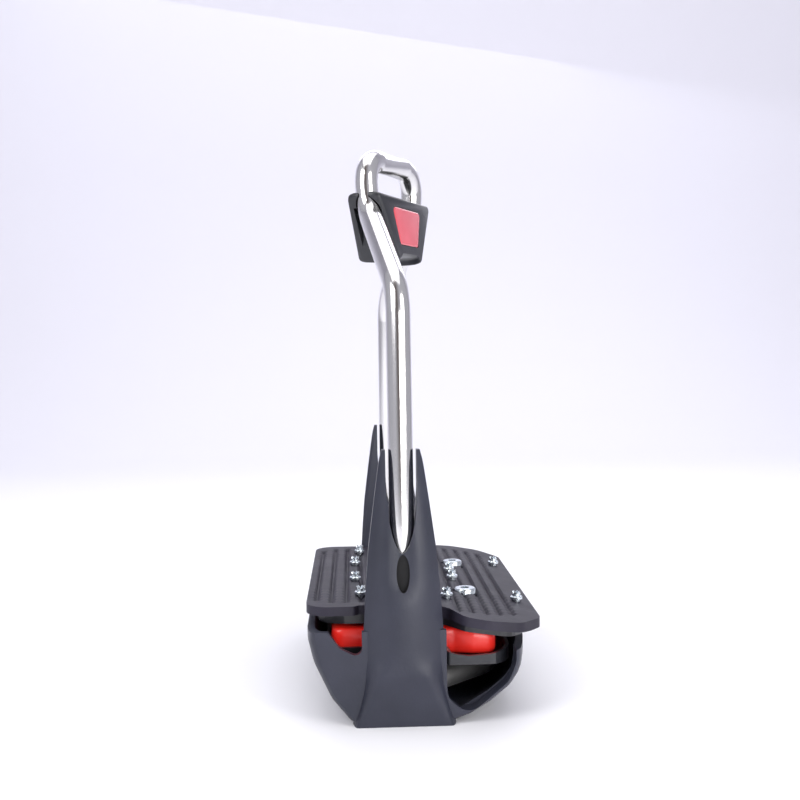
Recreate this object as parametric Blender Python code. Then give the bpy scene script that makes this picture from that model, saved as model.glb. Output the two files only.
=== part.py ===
"""Riding stirrup: a closed steel-rod frame, a composite base with forked uprights and a cushioned,
studded tread that rides on two red elastomer blocks.

Lengths in this file are in millimetres and the meshes are written in metres. Everything is placed from
the plane of the frame's two legs: X runs across the tread, along the rider's foot, Y runs from one leg
to the other and Z is up. The empty "stirrup" shifts that plane so that the row's origin is the centre
of the base's footprint.
"""
import math

import bmesh
import bpy
from mathutils import Matrix, Vector

MM = 0.001
GAP = 0.3                # clearance between pieces that touch

# Driving dimensions
ROD_R = 4.0              # steel rod of the frame
ROD_CLEAR = 0.35         # round the rod in its channel
LEG_Y = 62.0             # centre of a leg at the top of its fork
EYE_TURN = math.radians(28.0)   # the leather eye is turned from the plane of the legs
CLIP_TURN = math.radians(25.0)  # the clip lies a little straighter than the eye
EYE_HALF = 19.9          # from the middle of the eye to the centre of its side rods
EYE_Z = 187.7            # centre line of the eye's top bar
LOOP = Vector((30.5, 30.0, 10.4))  # corner of the frame's lower loop
TREAD_Z = 36.8           # top of the pad on its level part
BEND_X = 6.0             # from here the tread falls towards +X
FALL = math.tan(math.radians(8.0))
PAD_T = 3.0
PLATE_T = 3.2
SCREW = Vector((23.4, 26.0, 31.9))  # underside of a tread screw's head, on the tread's rocking line
FOOTPRINT_CENTRE = Vector((7.0, 0.0, 0.0))
UPRIGHT_IN = 56.0        # inner face of an upright
END_Y = 65.0             # outer face of the base's end walls
WALL = 2.2
TRAY_Z = 17.9            # underside of the cushion tray
TRAY_T = 1.5

for obj in list(bpy.data.objects):
    bpy.data.objects.remove(obj)


def material(name, colour, roughness, metallic=0.0):
    mat = bpy.data.materials.new(name)
    mat.use_nodes = True
    shader = mat.node_tree.nodes["Principled BSDF"]
    shader.inputs["Base Color"].default_value = (*colour, 1.0)
    shader.inputs["Roughness"].default_value = roughness
    shader.inputs["Metallic"].default_value = metallic
    mat.diffuse_color = (*colour, 1.0)
    return mat


STEEL = material("polished_steel", (0.72, 0.72, 0.74), 0.12, 1.0)
ZINC = material("zinc_steel", (0.62, 0.66, 0.70), 0.3, 1.0)
COMPOSITE = material("black_composite", (0.035, 0.037, 0.045), 0.45)
PLASTIC = material("black_plastic", (0.02, 0.021, 0.024), 0.4)
RUBBER = material("black_rubber", (0.03, 0.03, 0.036), 0.7)
ELASTOMER = material("red_elastomer", (0.72, 0.02, 0.02), 0.45)
BRASS = material("brass", (0.75, 0.58, 0.25), 0.3, 1.0)

stirrup = bpy.data.objects.new("stirrup", None)
bpy.context.scene.collection.objects.link(stirrup)
stirrup.location = -FOOTPRINT_CENTRE * MM

# The tread rocks about the Y axis of this empty.
rocker = bpy.data.objects.new("tread_axis", None)
bpy.context.scene.collection.objects.link(rocker)
rocker.parent = stirrup
rocker.location = Vector((SCREW.x, 0.0, SCREW.z)) * MM


def add(name, bm, mat, parent=stirrup, sharp=35.0):
    """An object from a bmesh in millimetres, shaded smooth except at sharp edges."""
    bmesh.ops.remove_doubles(bm, verts=bm.verts, dist=1e-4)
    bmesh.ops.recalc_face_normals(bm, faces=bm.faces)
    if parent is rocker:
        bmesh.ops.translate(bm, vec=(-SCREW.x, 0, -SCREW.z), verts=bm.verts)
    bmesh.ops.scale(bm, vec=(MM, MM, MM), verts=bm.verts)
    mesh = bpy.data.meshes.new(name)
    bm.to_mesh(mesh)
    bm.free()
    mesh.materials.append(mat)
    mesh.shade_smooth()
    mesh.set_sharp_from_angle(angle=math.radians(sharp))
    obj = bpy.data.objects.new(name, mesh)
    bpy.context.scene.collection.objects.link(obj)
    obj.parent = parent
    return obj


def hide(obj):
    """Marks obj as a cutter, which isn't part of the object."""
    obj.hide_render = True
    obj.display_type = "WIRE"
    return obj


def boolean(target, other, operation="DIFFERENCE"):
    hide(other)
    modifier = target.modifiers.new(f"{operation.lower()}_{other.name}", "BOOLEAN")
    modifier.object = other
    modifier.operation = operation
    modifier.solver = "EXACT"


def loft(bm, rings):
    """A closed skin over rings of the same number of points, capped at both ends."""
    loops = [[bm.verts.new(p) for p in ring] for ring in rings]
    count = len(loops[0])
    for a, b in zip(loops, loops[1:]):
        for i in range(count):
            j = (i + 1) % count
            bm.faces.new((a[i], a[j], b[j], b[i]))
    bm.faces.new(loops[0])
    bm.faces.new(loops[-1])


def rounded(corners, steps=4):
    """A closed outline from (x, y, radius) corners, each rounded by an arc."""
    points = []
    for i, (x, y, r) in enumerate(corners):
        here = Vector((x, y))
        before = Vector(corners[i - 1][:2]) - here
        after = Vector(corners[(i + 1) % len(corners)][:2]) - here
        half = before.angle(after) / 2
        turn = math.pi - 2 * half
        reach = min(r / math.tan(half), 0.49 * before.length, 0.49 * after.length)
        radius = reach * math.tan(half)
        count = max(1, min(steps, round(turn / math.radians(18))))
        centre = here + (before.normalized() + after.normalized()).normalized() * radius / math.sin(half)
        start = here + before.normalized() * reach - centre
        side = 1 if before.cross(after) < 0 else -1
        for k in range(count + 1):
            angle = side * turn * k / count
            c, s = math.cos(angle), math.sin(angle)
            points.append((centre.x + start.x * c - start.y * s, centre.y + start.x * s + start.y * c))
    return points


def slab(outline, low, high):
    """A plate: an XY outline raised from low to high."""
    bm = bmesh.new()
    loft(bm, [[(x, y, z) for x, y in outline] for z in (low, high)])
    return bm


def prism(outline, near, far):
    """A bar: an XZ outline drawn along Y from near to far."""
    bm = bmesh.new()
    loft(bm, [[(x, y, z) for x, z in outline] for y in (near, far)])
    return bm


def box(low, high):
    (x0, y0, z0), (x1, y1, z1) = low, high
    return slab([(x0, y0), (x1, y0), (x1, y1), (x0, y1)], z0, z1)


def turned(bm, profile, centre=(0, 0), sides=12, axis="Z"):
    """A solid turned round a line through centre, from (radius, height) pairs."""
    rings = []
    for r, h in profile:
        ring = []
        for k in range(sides):
            a = 2 * math.pi * (k + 0.5) / sides
            u, v = r * math.cos(a), r * math.sin(a)
            if axis == "Z":
                ring.append((centre[0] + u, centre[1] + v, h))
            else:
                ring.append((centre[0] + u, h, centre[1] + v))
        rings.append(ring)
    loft(bm, rings)


def merge(*parts):
    """One bmesh that holds several separate bodies."""
    whole = bmesh.new()
    for part in parts:
        mesh = bpy.data.meshes.new("part")
        part.to_mesh(mesh)
        part.free()
        whole.from_mesh(mesh)
        bpy.data.meshes.remove(mesh)
    return whole


def filleted(corners, radii, step=math.radians(15)):
    """A closed line through space whose corners are arcs."""
    points = []
    count = len(corners)
    for i, here in enumerate(corners):
        to_a = (corners[i - 1] - here).normalized()
        to_b = (corners[(i + 1) % count] - here).normalized()
        half = to_a.angle(to_b) / 2
        reach = radii[i] / math.tan(half)
        centre = here + (to_a + to_b).normalized() * radii[i] / math.sin(half)
        turn = math.pi - 2 * half
        start = here + to_a * reach - centre
        normal = to_a.cross(to_b).normalized()
        steps = max(2, round(turn / step))
        for k in range(steps + 1):
            points.append(centre + Matrix.Rotation(-turn * k / steps, 3, normal) @ start)
    return points


def ring_tube(path, radius, sides=12):
    """A closed tube along a closed line."""
    bm = bmesh.new()
    count = len(path)
    tangents = [(path[(i + 1) % count] - path[i - 1]).normalized() for i in range(count)]
    normal = tangents[0].orthogonal().normalized()
    normals = [normal]
    for a, b in zip(tangents, tangents[1:] + tangents[:1]):
        normal = a.rotation_difference(b) @ normal
        normals.append(normal)
    twist = normals[-1].angle(normals[0])
    if normals[-1].cross(normals[0]).dot(tangents[0]) < 0:
        twist = -twist
    step = 2 * math.pi / sides
    twist -= round(twist / step) * step
    loops = []
    for i, (p, t) in enumerate(zip(path, tangents)):
        side = Matrix.Rotation(twist * i / count, 3, t) @ normals[i]
        up = t.cross(side)
        loops.append([bm.verts.new(p + radius * (side * math.cos(k * step) + up * math.sin(k * step)))
                      for k in range(sides)])
    for i in range(count):
        a, b = loops[i], loops[(i + 1) % count]
        for k in range(sides):
            m = (k + 1) % sides
            bm.faces.new((a[k], a[m], b[m], b[k]))
    return bm


def mirrored(bm):
    """The bmesh and its mirror image across the XZ plane."""
    other = bm.copy()
    bmesh.ops.scale(other, vec=(1, -1, 1), verts=other.verts)
    bmesh.ops.reverse_faces(other, faces=other.faces)
    return merge(bm, other)


# ---- Steel frame: one rod bent into the eye, the shoulders, the legs and the loop inside the base ----
EYE_X = EYE_HALF * math.sin(EYE_TURN)
EYE_Y = EYE_HALF * math.cos(EYE_TURN)


def frame_path():
    """Corners of the rod's centre line from the eye's near corner round to its far one."""
    near = [
        (Vector((-EYE_X, -EYE_Y, EYE_Z)), 9.5),
        (Vector((-EYE_X + 1.0, -EYE_Y - 0.8, 169.0)), 14.0),
        (Vector((0, -57.5, 139.0)), 16.0),
        (Vector((0, -LEG_Y, 62.0)), 60.0),
        (Vector((0, -LEG_Y + 1.5, LOOP.z)), 7.0),
        (Vector((LOOP.x, -LOOP.y, LOOP.z)), 11.0),
    ]
    far = [(Vector((-p.x if p.z > 150 else p.x, -p.y, p.z)), r) for p, r in reversed(near)]
    return near + far


def frame_tube(radius):
    corners, radii = zip(*frame_path())
    return ring_tube(filleted(corners, radii), radius)


add("steel_frame", frame_tube(ROD_R), STEEL)

# ---- Base: end walls, flanks, floor and uprights in one composite moulding ----
BASE_OUT = [(-17, 0), (15, 0), (22, 2.6), (28.5, 6.6), (35, 11.8), (37.8, 16), (38.6, 20), (38.6, 42),
            (-31, 42), (-31, 27), (-29.4, 20), (-24, 8.5)]
BASE_IN = [(-15.8, WALL), (14.5, WALL), (20.8, 4.8), (27.2, 8.6), (33.2, 13.2), (35.8, 17), (36.4, 21),
           (36.4, 50), (-28.8, 50), (-28.8, 27.2), (-27.3, 20.6), (-22.2, 9.6)]
# The flank bellies out towards the middle of its length, by these amounts at each point of an outline.
BELLY = [(0, 0), (7, 0), (7.5, -1.8), (7, -2.8), (4.6, -2.4), (3.6, -1.5), (3, 0), (3, 0),
         (0, 0), (0, 0), (0, 0), (0, 0)]
BASE_MID = 4.3           # the end walls curve in towards this X


def base_rings(outline, end):
    """Cross-sections of the base from one end wall to the other."""
    half = [(0, 0.92, 1.2, 0), (1.5, 0.96, 0.5, 0), (4.5, 0.985, 0, 0.03), (10, 1, 0, 0.25),
            (17, 1, 0, 0.62), (24, 1, 0, 0.9), (32, 1, 0, 1)]
    rings = [(back - end, *rest) for back, *rest in half]
    rings += [(-y, *rest) for y, *rest in reversed(rings)]
    return [[(BASE_MID + (x + dx * belly - BASE_MID) * share, y,
              z + dz * belly + rise * max(0.0, 1 - z / 12))
             for (x, z), (dx, dz) in zip(outline, BELLY)] for y, share, rise, belly in rings]


def solid(rings):
    bm = bmesh.new()
    loft(bm, rings)
    return bm


base = add("base_shell", solid(base_rings(BASE_OUT, END_Y)), COMPOSITE)
boolean(base, add("cut_base_cavity", solid(base_rings(BASE_IN, END_Y - WALL)), COMPOSITE))
BASE_TOP = [(-60, 30.4), (18, 30.4), (34, 23.4), (60, 23.4), (60, 70), (-60, 70)]
boolean(base, add("cut_base_top", prism(BASE_TOP, -80, 80), COMPOSITE))

UPRIGHT = [  # height, half width, outer face, inner face
    (0.0, 15.6, 66.8, UPRIGHT_IN), (6.0, 14.2, 67.7, UPRIGHT_IN), (13.0, 13.1, 68.6, UPRIGHT_IN),
    (16.0, 13.0, 69.3, UPRIGHT_IN), (28.0, 12.9, 69.5, UPRIGHT_IN), (45.0, 11.8, 69.3, UPRIGHT_IN),
    (56.0, 10.9, 68.8, 56.1),
    (72.0, 8.8, 67.3, 56.6), (82.0, 7.4, 66.0, 57.0), (89.5, 6.2, 64.2, 58.0)]


def upright():
    """One upright, lofted through eight-sided sections and tapering to the tips of its fork."""
    rings = []
    for z, half, outer, inner in UPRIGHT:
        cut = 0.36 * half
        small = 0.12 * half
        rings.append([(x, -y, z) for x, y in (
            (-half + small, inner), (half - small, inner), (half, inner + small), (half, outer - cut),
            (half - cut, outer), (-half + cut, outer), (-half, outer - cut), (-half, inner + small))])
    return solid(rings)


boolean(base, add("join_uprights", mirrored(upright()), COMPOSITE), "UNION")

# Cradles under the lower loop, bosses for the tray's screws and posts that hold up its ends.
SADDLE_Y = (13.0, 23.0)
SADDLE_SCREW = Vector((21.6, 18.0))
CRADLE = [(18.0, 1.2), (26, 1.6), (35, 5.6), (38.5, 10.4), (18.0, 10.4)]
cradles = [prism(CRADLE, *SADDLE_Y), prism(CRADLE, -SADDLE_Y[1], -SADDLE_Y[0])]
boolean(base, add("join_cradles", merge(*cradles), COMPOSITE), "UNION")
TRAY_SCREWS = [(x, y) for x in (-14.0, 19.0) for y in (-6.0, 6.0)]
TRAY_POSTS = [(x, y) for x in (-12.0, 11.0) for y in (-38.0, 38.0)]
SIDES = 10


def stack(places, profile, sides=SIDES):
    """One turned solid at each of the places."""
    bodies = []
    for x, y in places:
        bm = bmesh.new()
        turned(bm, profile, (x, y), sides)
        bodies.append(bm)
    return merge(*bodies)


POST_TOP = TRAY_Z - GAP
posts = merge(stack(TRAY_SCREWS, [(3.2, 1.2), (3.2, POST_TOP)]),
              stack(TRAY_POSTS, [(2.6, 1.2), (2.6, POST_TOP)]))
boolean(base, add("join_posts", posts, COMPOSITE), "UNION")

# Channel for the rod, fork slots, drain holes, end windows and the floor window.
channel = add("cut_rod_channel", frame_tube(ROD_R + ROD_CLEAR), COMPOSITE)
boolean(base, channel)
SLOT = [(-5.0, 100), (-4.9, 76), (-4.6, 70), (-3.8, 64), (-2.4, 59), (-0.7, 55.6), (0.7, 55.6), (2.4, 59),
        (3.8, 64), (4.6, 70), (4.9, 76), (5.0, 100)]
boolean(base, add("cut_fork_slots", prism(SLOT, -80, 80), COMPOSITE))
bm = bmesh.new()
turned(bm, [(1.0, -80), (1.0, -66.8)], sides=14, axis="Y")
bmesh.ops.scale(bm, vec=(1.9, 1, 5.8), verts=bm.verts)
bmesh.ops.translate(bm, vec=(0, 0, 49.2), verts=bm.verts)
boolean(base, add("cut_drain_holes", mirrored(bm), COMPOSITE))
WINDOW = [(13.6, 60), (13.6, 13), (14.4, 8.8), (17.4, 5.4), (21.2, 4.2), (27.0, 7.6), (31.9, 11.6),
          (34.9, 15.3), (36.0, 19.5), (36.0, 60)]
NOTCH = [(-13.4, 60), (-13.4, 24), (-13.8, 22.9), (-15.2, 22.8), (-18.6, 24.5), (-22, 27.2),
         (-24.4, 30.8), (-24.6, 60)]
end_windows = [prism(outline, low, high) for outline in (WINDOW, NOTCH)
               for low, high in ((-80, -59), (59, 80))]
boolean(base, add("cut_end_windows", merge(*end_windows), COMPOSITE))
FLOOR_WINDOW = rounded([(-10, -30, 6), (12, -30, 6), (12, 30, 6), (-10, 30, 6)])
boolean(base, add("cut_floor_window", slab(FLOOR_WINDOW, -5, 4), COMPOSITE))


def screws(places, tip, head, shank_r=1.2, head_r=2.4, head_h=1.6):
    """Cap screws that point down, with the underside of the head at height head."""
    return stack(places, [(shank_r, tip), (shank_r, head), (head_r, head), (head_r, head + head_h - 0.3),
                          (head_r - 0.3, head + head_h)])


SCREW_CLEAR = 1.2 + GAP
boolean(base, add("cut_tray_screws", stack(TRAY_SCREWS, [(SCREW_CLEAR, 6), (SCREW_CLEAR, 40)]), COMPOSITE))

# Saddles that hold the lower loop in its cradles.
SADDLE = [(18.4, 10.7), (35.6, 10.7), (36, 13.2), (34.2, 16.2), (26.8, 16.2), (25.2, 13), (18.4, 13)]
saddle_places = [(SADDLE_SCREW.x, s * SADDLE_SCREW.y) for s in (-1, 1)]
saddle_bore = add("cut_saddle_screws", stack(saddle_places, [(SCREW_CLEAR, 5.0), (SCREW_CLEAR, 30)]),
                  COMPOSITE)
boolean(base, saddle_bore)
for name, low, high in (("frame_saddle_near", -SADDLE_Y[1], -SADDLE_Y[0]), ("frame_saddle_far", *SADDLE_Y)):
    saddle = add(name, prism(SADDLE, low, high), PLASTIC)
    boolean(saddle, channel)
    boolean(saddle, saddle_bore)
for side, place in zip(("near", "far"), saddle_places):
    add(f"saddle_screw_{side}", screws([place], 5.4, 13 + GAP), ZINC)

# ---- Tray: carries the cushions and closes the tops of the end windows ----
TRAY_OUT = rounded([(-25.2, -55.4, 3), (13.9, -55.4, 0.5), (14.1, -61.2, 1), (31.4, -61.2, 6),
                    (35.2, -54, 8), (35.2, 54, 8), (31.4, 61.2, 6), (14.1, 61.2, 1), (13.9, 55.4, 0.5),
                    (-25.2, 55.4, 3)])
RIM = 1.3
TRAY_IN = rounded([(-25.2 + RIM, -55.4 + RIM, 2), (14.9, -55.4 + RIM, 0.5), (15.4, -61.2 + RIM, 1),
                   (30.6, -61.2 + RIM, 5), (35.2 - RIM, -53.6, 7), (35.2 - RIM, 53.6, 7),
                   (30.6, 61.2 - RIM, 5), (15.4, 61.2 - RIM, 1), (14.9, 55.4 - RIM, 0.5),
                   (-25.2 + RIM, 55.4 - RIM, 2)])
TRAY_TOP = TRAY_Z + TRAY_T
tray = add("cushion_tray", slab(TRAY_OUT, TRAY_Z, 40), PLASTIC)
boolean(tray, add("cut_tray_well", slab(TRAY_IN, TRAY_TOP, 60), PLASTIC))
RIM_LINE = [(-60, 23), (8, 23), (13, 22.8), (17, 21.4), (21, 20.8), (28, 21.2), (32, 21.9), (34.5, 22.8),
            (60, 23.2), (60, 80), (-60, 80)]
boolean(tray, add("cut_tray_rim", prism(RIM_LINE, -80, 80), PLASTIC))
boolean(tray, add("cut_tray_bores", stack(TRAY_SCREWS, [(SCREW_CLEAR, 10), (SCREW_CLEAR, 30)]), PLASTIC))
for number, place in enumerate(TRAY_SCREWS, 1):
    add(f"tray_screw_{number}", screws([place], 7.0, TRAY_TOP + GAP), ZINC)

# ---- Tread: pad on its carrier plate, both draped over the same bend ----
def twofold(corners):
    """A rounded outline from the corners of its near half."""
    return rounded(corners + [(x, -y, r) for x, y, r in reversed(corners)])


BED = twofold([(-31.5, -57, 12), (-15.6, -57, 1.5), (-14.4, -55.2, 1.2), (14.6, -55.2, 5), (19.6, -67.2, 6),
               (27, -69.2, 8), (37.5, -66.8, 8), (45.5, -55, 9)])
PLATE = twofold([(-28, -53, 9), (14, -53, 3), (20.5, -60, 5), (35, -60, 6), (40, -52, 7)])


def drape(bm):
    """Bends a level plate down towards +X."""
    bmesh.ops.bisect_plane(bm, geom=bm.verts[:] + bm.edges[:] + bm.faces[:], plane_co=(BEND_X, 0, 0),
                           plane_no=(1, 0, 0))
    for v in bm.verts:
        v.co.z -= FALL * max(0.0, v.co.x - BEND_X)
    return bm


def tread_top(x):
    return TREAD_Z - FALL * max(0.0, x - BEND_X)


pad = add("tread_pad", drape(slab(BED, TREAD_Z - PAD_T, TREAD_Z)), RUBBER, rocker)
PLATE_TOP = TREAD_Z - PAD_T - GAP
PLATE_LOW = PLATE_TOP - PLATE_T
plate = add("tread_plate", drape(slab(PLATE, PLATE_LOW, PLATE_TOP)), PLASTIC, rocker)
GROOVE_X = [-28.2, -23.2, -18.2, 27.3, 31.8, 36.3]
grooves = [drape(box((x - 0.9, -49, TREAD_Z - 1.0), (x + 0.9, 49, TREAD_Z + 3))) for x in GROOVE_X]
boolean(pad, add("cut_pad_grooves", merge(*grooves), RUBBER, rocker))
tread_screws = [(SCREW.x, s * SCREW.y) for s in (-1, 1)]
boolean(pad, add("cut_pad_screws", stack(tread_screws, [(4.4, 10), (4.4, 60)], 16), RUBBER, rocker))
boolean(plate, add("cut_plate_screws", stack(tread_screws, [(3.1, 10), (3.1, 60)], 16), PLASTIC, rocker))

STUDS_REAR = [(-13.4, -40), (-15.2, -15), (-15.2, 15), (-13.4, 40)]
STUDS_FRONT = [(15.7, -41), (20.5, -7), (20.5, 7), (15.7, 41), (40.6, -33), (40.6, 33)]
STUD_R = 1.3
studs = STUDS_REAR + STUDS_FRONT
stud_bore = add("cut_stud_bores", stack(studs, [(STUD_R + GAP, 10), (STUD_R + GAP, 60)]), RUBBER, rocker)
for target in (pad, plate):
    boolean(target, stud_bore)


for number, (x, y) in enumerate(studs, 1):
    # The collar sits on the pad and the shank is screwed into the plate.
    seat = tread_top(x - 2.2) + GAP
    foot = tread_top(x) - PAD_T - GAP - 0.8 * PLATE_T
    add(f"grip_stud_{number}",
        stack([(x, y)], [(STUD_R, foot), (STUD_R, seat), (2.1, seat), (2.1, seat + 1.2),
                         (1.5, seat + 1.5), (1.5, seat + 2.4), (1.1, seat + 2.9)]),
        ZINC, rocker)

# ---- Cushions and the tread screws that are bolted into them ----
CUSHION_LOW = TRAY_TOP + GAP
CUSHION = rounded([(-23.4, -53.6, 4), (17, -53.6, 4), (23, -55.4, 5), (30.8, -55.6, 7), (30.8, -11.5, 5),
                   (-23.4, -11.5, 5)])
INSERT_TOP = 26.4
cushion_cut = stack(tread_screws, [(4.0, 21.2), (4.0, 25.0), (5.4, 25.0), (5.4, 60)], 16)
cushion_cut = add("cut_cushion_inserts", cushion_cut, ELASTOMER)
for name, side in (("cushion_near", 1), ("cushion_far", -1)):
    outline = [(x, side * y) for x, y in CUSHION]
    bm = drape(slab(outline, CUSHION_LOW, PLATE_LOW - GAP))
    for v in bm.verts:
        if v.co.z < (CUSHION_LOW + PLATE_LOW) / 2 - FALL * max(0.0, v.co.x - BEND_X):
            v.co.z = CUSHION_LOW
    cushion = add(name, bm, ELASTOMER)
    boolean(cushion, cushion_cut)
for side, name in ((-1, "near"), (1, "far")):
    place = [(SCREW.x, side * SCREW.y)]
    insert = add(f"cushion_insert_{name}",
                 stack(place, [(3.7, 21.6), (3.7, 25.3), (5.0, 25.3), (5.0, INSERT_TOP)],
                                                 16), BRASS)
    boolean(insert, add(f"cut_insert_{name}", stack(place, [(2.8, 10), (2.8, 60)], 16), BRASS))
    add(f"tread_screw_{name}",
        stack(place, [(2.5, 22.2), (2.5, SCREW.z), (3.75, SCREW.z), (3.75, 35.9), (3.2, 36.7)], 16), ZINC)

# ---- Clip: two shells that close round both side rods of the eye ----
eye = bpy.data.objects.new("clip_frame", None)
bpy.context.scene.collection.objects.link(eye)
eye.parent = stirrup
# In this frame Y runs from the near side rod to the far one.
eye.rotation_euler = (0.0, 0.0, -CLIP_TURN)
CLIP_HALF = EYE_HALF + 5.2
SHIELD = [(-CLIP_HALF, 175.4), (-12.8, 153.6), (-10.6, 151.4), (-7.6, 153.4), (7.6, 153.4), (10.6, 151.4),
          (12.8, 153.6), (CLIP_HALF, 175.4)]


def clip_shell(inner, outer):
    """A shell whose face is set back from inner to outer along X, tapering towards its outline."""
    rings = []
    for x, inset in ((inner, 0), (inner + 0.6 * (outer - inner), 0.3), (outer, 1.4)):
        ring = []
        for y, z in SHIELD:
            swell = 1 + 0.012 * (175.4 - z)
            ring.append((x * swell, y - math.copysign(inset, y), z + (inset if z < 165 else -inset)))
        rings.append(ring)
    return solid(rings)


CLIP_SCREWS = [(-7.5, 166.0), (7.5, 166.0)]


def along_x(places, profile, sides=SIDES):
    """One solid turned round a line along X at each (y, z) place, from (radius, x) pairs."""
    bodies = []
    for y, z in places:
        bm = stack([(0, 0)], profile, sides)
        bmesh.ops.rotate(bm, cent=(0, 0, 0), matrix=Matrix.Rotation(math.radians(90), 3, "Y"),
                         verts=bm.verts)
        bmesh.ops.translate(bm, vec=(0, y, z), verts=bm.verts)
        bodies.append(bm)
    return merge(*bodies)


clip_front = add("clip_front", clip_shell(0.2, 6.3), PLASTIC, eye)
clip_rear = add("clip_rear", clip_shell(-0.2, -6.3), PLASTIC, eye)
clip_cut = add("cut_clip_bores", along_x(CLIP_SCREWS, [(1.5, -20), (1.5, 20)]), PLASTIC, eye)
head_cut = add("cut_clip_heads", along_x(CLIP_SCREWS, [(2.6, -20), (2.6, -4.4)]), PLASTIC, eye)
nut_cut = add("cut_clip_nuts", along_x(CLIP_SCREWS, [(3.0, 3.3), (3.0, 20)], 6), PLASTIC, eye)
BADGE = rounded([(-8.4, 157.6, 2), (8.4, 157.6, 2), (13.4, 171.4, 2), (-13.4, 171.4, 2)])


def badge(inset, low, high):
    return solid([[(x * (1 + 0.012 * (175.4 - z)), y - math.copysign(inset, y),
                    z + (inset if z < 167 else -inset)) for y, z in BADGE] for x in (low, high)])


badge_cut = add("cut_badge_seat", badge(0.0, 5.4, 9), PLASTIC, eye)
# Each end is hollow round its side rod and open at the bottom, where the rod leaves for its shoulder.
HOLLOW = [(-40, 140), (-13.5, 140), (-14.5, 158), (-15.2, 170), (-40, 170)]
bm = solid([[(x, y, z) for y, z in HOLLOW] for x in (-4.6, 4.6)])
SLIT = [(1.6, 180), (2.0, 169), (-2.0, 169), (-1.6, 180)]
hollow_cut = add("cut_clip_hollows", mirrored(merge(bm, prism(SLIT, -40, -19))), PLASTIC, eye)
for shell in (clip_front, clip_rear):
    boolean(shell, channel)
    boolean(shell, hollow_cut)
    boolean(shell, clip_cut)
boolean(clip_rear, head_cut)
boolean(clip_front, nut_cut)
boolean(clip_front, badge_cut)
add("clip_badge", badge(GAP, 5.4 + GAP, 6.5), ELASTOMER, eye)
for side, place in zip(("near", "far"), CLIP_SCREWS):
    add(f"clip_screw_{side}", along_x([place], [(2.2, -6.3), (2.2, -4.7), (1.2, -4.7), (1.2, 4.9)]), ZINC,
        eye)
    nut = add(f"clip_nut_{side}", along_x([place], [(2.7, 3.6), (2.7, 5.0)], 6), ZINC, eye)
    boolean(nut, clip_cut)
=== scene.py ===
"""Looks for the riding stirrup: camera, soft studio, detailed meshes and procedural materials.

Lengths in the mesh code are in millimetres from the plane of the frame's legs, as in the CAD source:
X across the tread, Y from leg to leg, Z up. place() turns them into the row frame.
"""
import math

import bmesh
import bpy
from mathutils import Matrix, Vector


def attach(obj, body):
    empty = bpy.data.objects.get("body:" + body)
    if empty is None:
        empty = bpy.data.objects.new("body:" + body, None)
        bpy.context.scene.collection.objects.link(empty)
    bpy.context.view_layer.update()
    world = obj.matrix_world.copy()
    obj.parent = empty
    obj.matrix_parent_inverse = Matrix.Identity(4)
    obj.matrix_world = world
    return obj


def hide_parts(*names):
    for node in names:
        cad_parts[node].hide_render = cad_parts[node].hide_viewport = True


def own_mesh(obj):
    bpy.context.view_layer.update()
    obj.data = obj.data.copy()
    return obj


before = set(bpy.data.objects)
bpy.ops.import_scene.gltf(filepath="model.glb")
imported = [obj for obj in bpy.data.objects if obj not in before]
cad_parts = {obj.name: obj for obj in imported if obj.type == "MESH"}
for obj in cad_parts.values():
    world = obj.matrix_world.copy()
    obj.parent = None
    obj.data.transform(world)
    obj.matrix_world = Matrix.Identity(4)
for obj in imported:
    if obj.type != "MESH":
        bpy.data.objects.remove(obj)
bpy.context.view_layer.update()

MM = 0.001
CENTRE_X = 7.0           # middle of the footprint
ROD_R = 4.0
LEG_Y = 62.0
EYE_TURN = math.radians(28.0)
CLIP_TURN = math.radians(25.0)
EYE_HALF = 19.9
EYE_Z = 187.7
LOOP = Vector((30.5, 30.0, 10.4))
LOOP_TOP = 17.0          # the rod is satin and painted lighter below this height
TREAD_Z = 36.8
BEND_X = 6.0
FALL = math.tan(math.radians(8.0))
PAD_T = 3.0
PLATE_LOW = 30.3         # underside of the plate on its level part
SCREW = Vector((23.4, 26.0, 31.9))
CUSHION_LOW = 19.7
STUDS = [(-13.4, -40), (-15.2, -15), (-15.2, 15), (-13.4, 40), (15.7, -41), (20.5, -7), (20.5, 7), (15.7, 41),
         (40.6, -33), (40.6, 33)]


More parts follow.
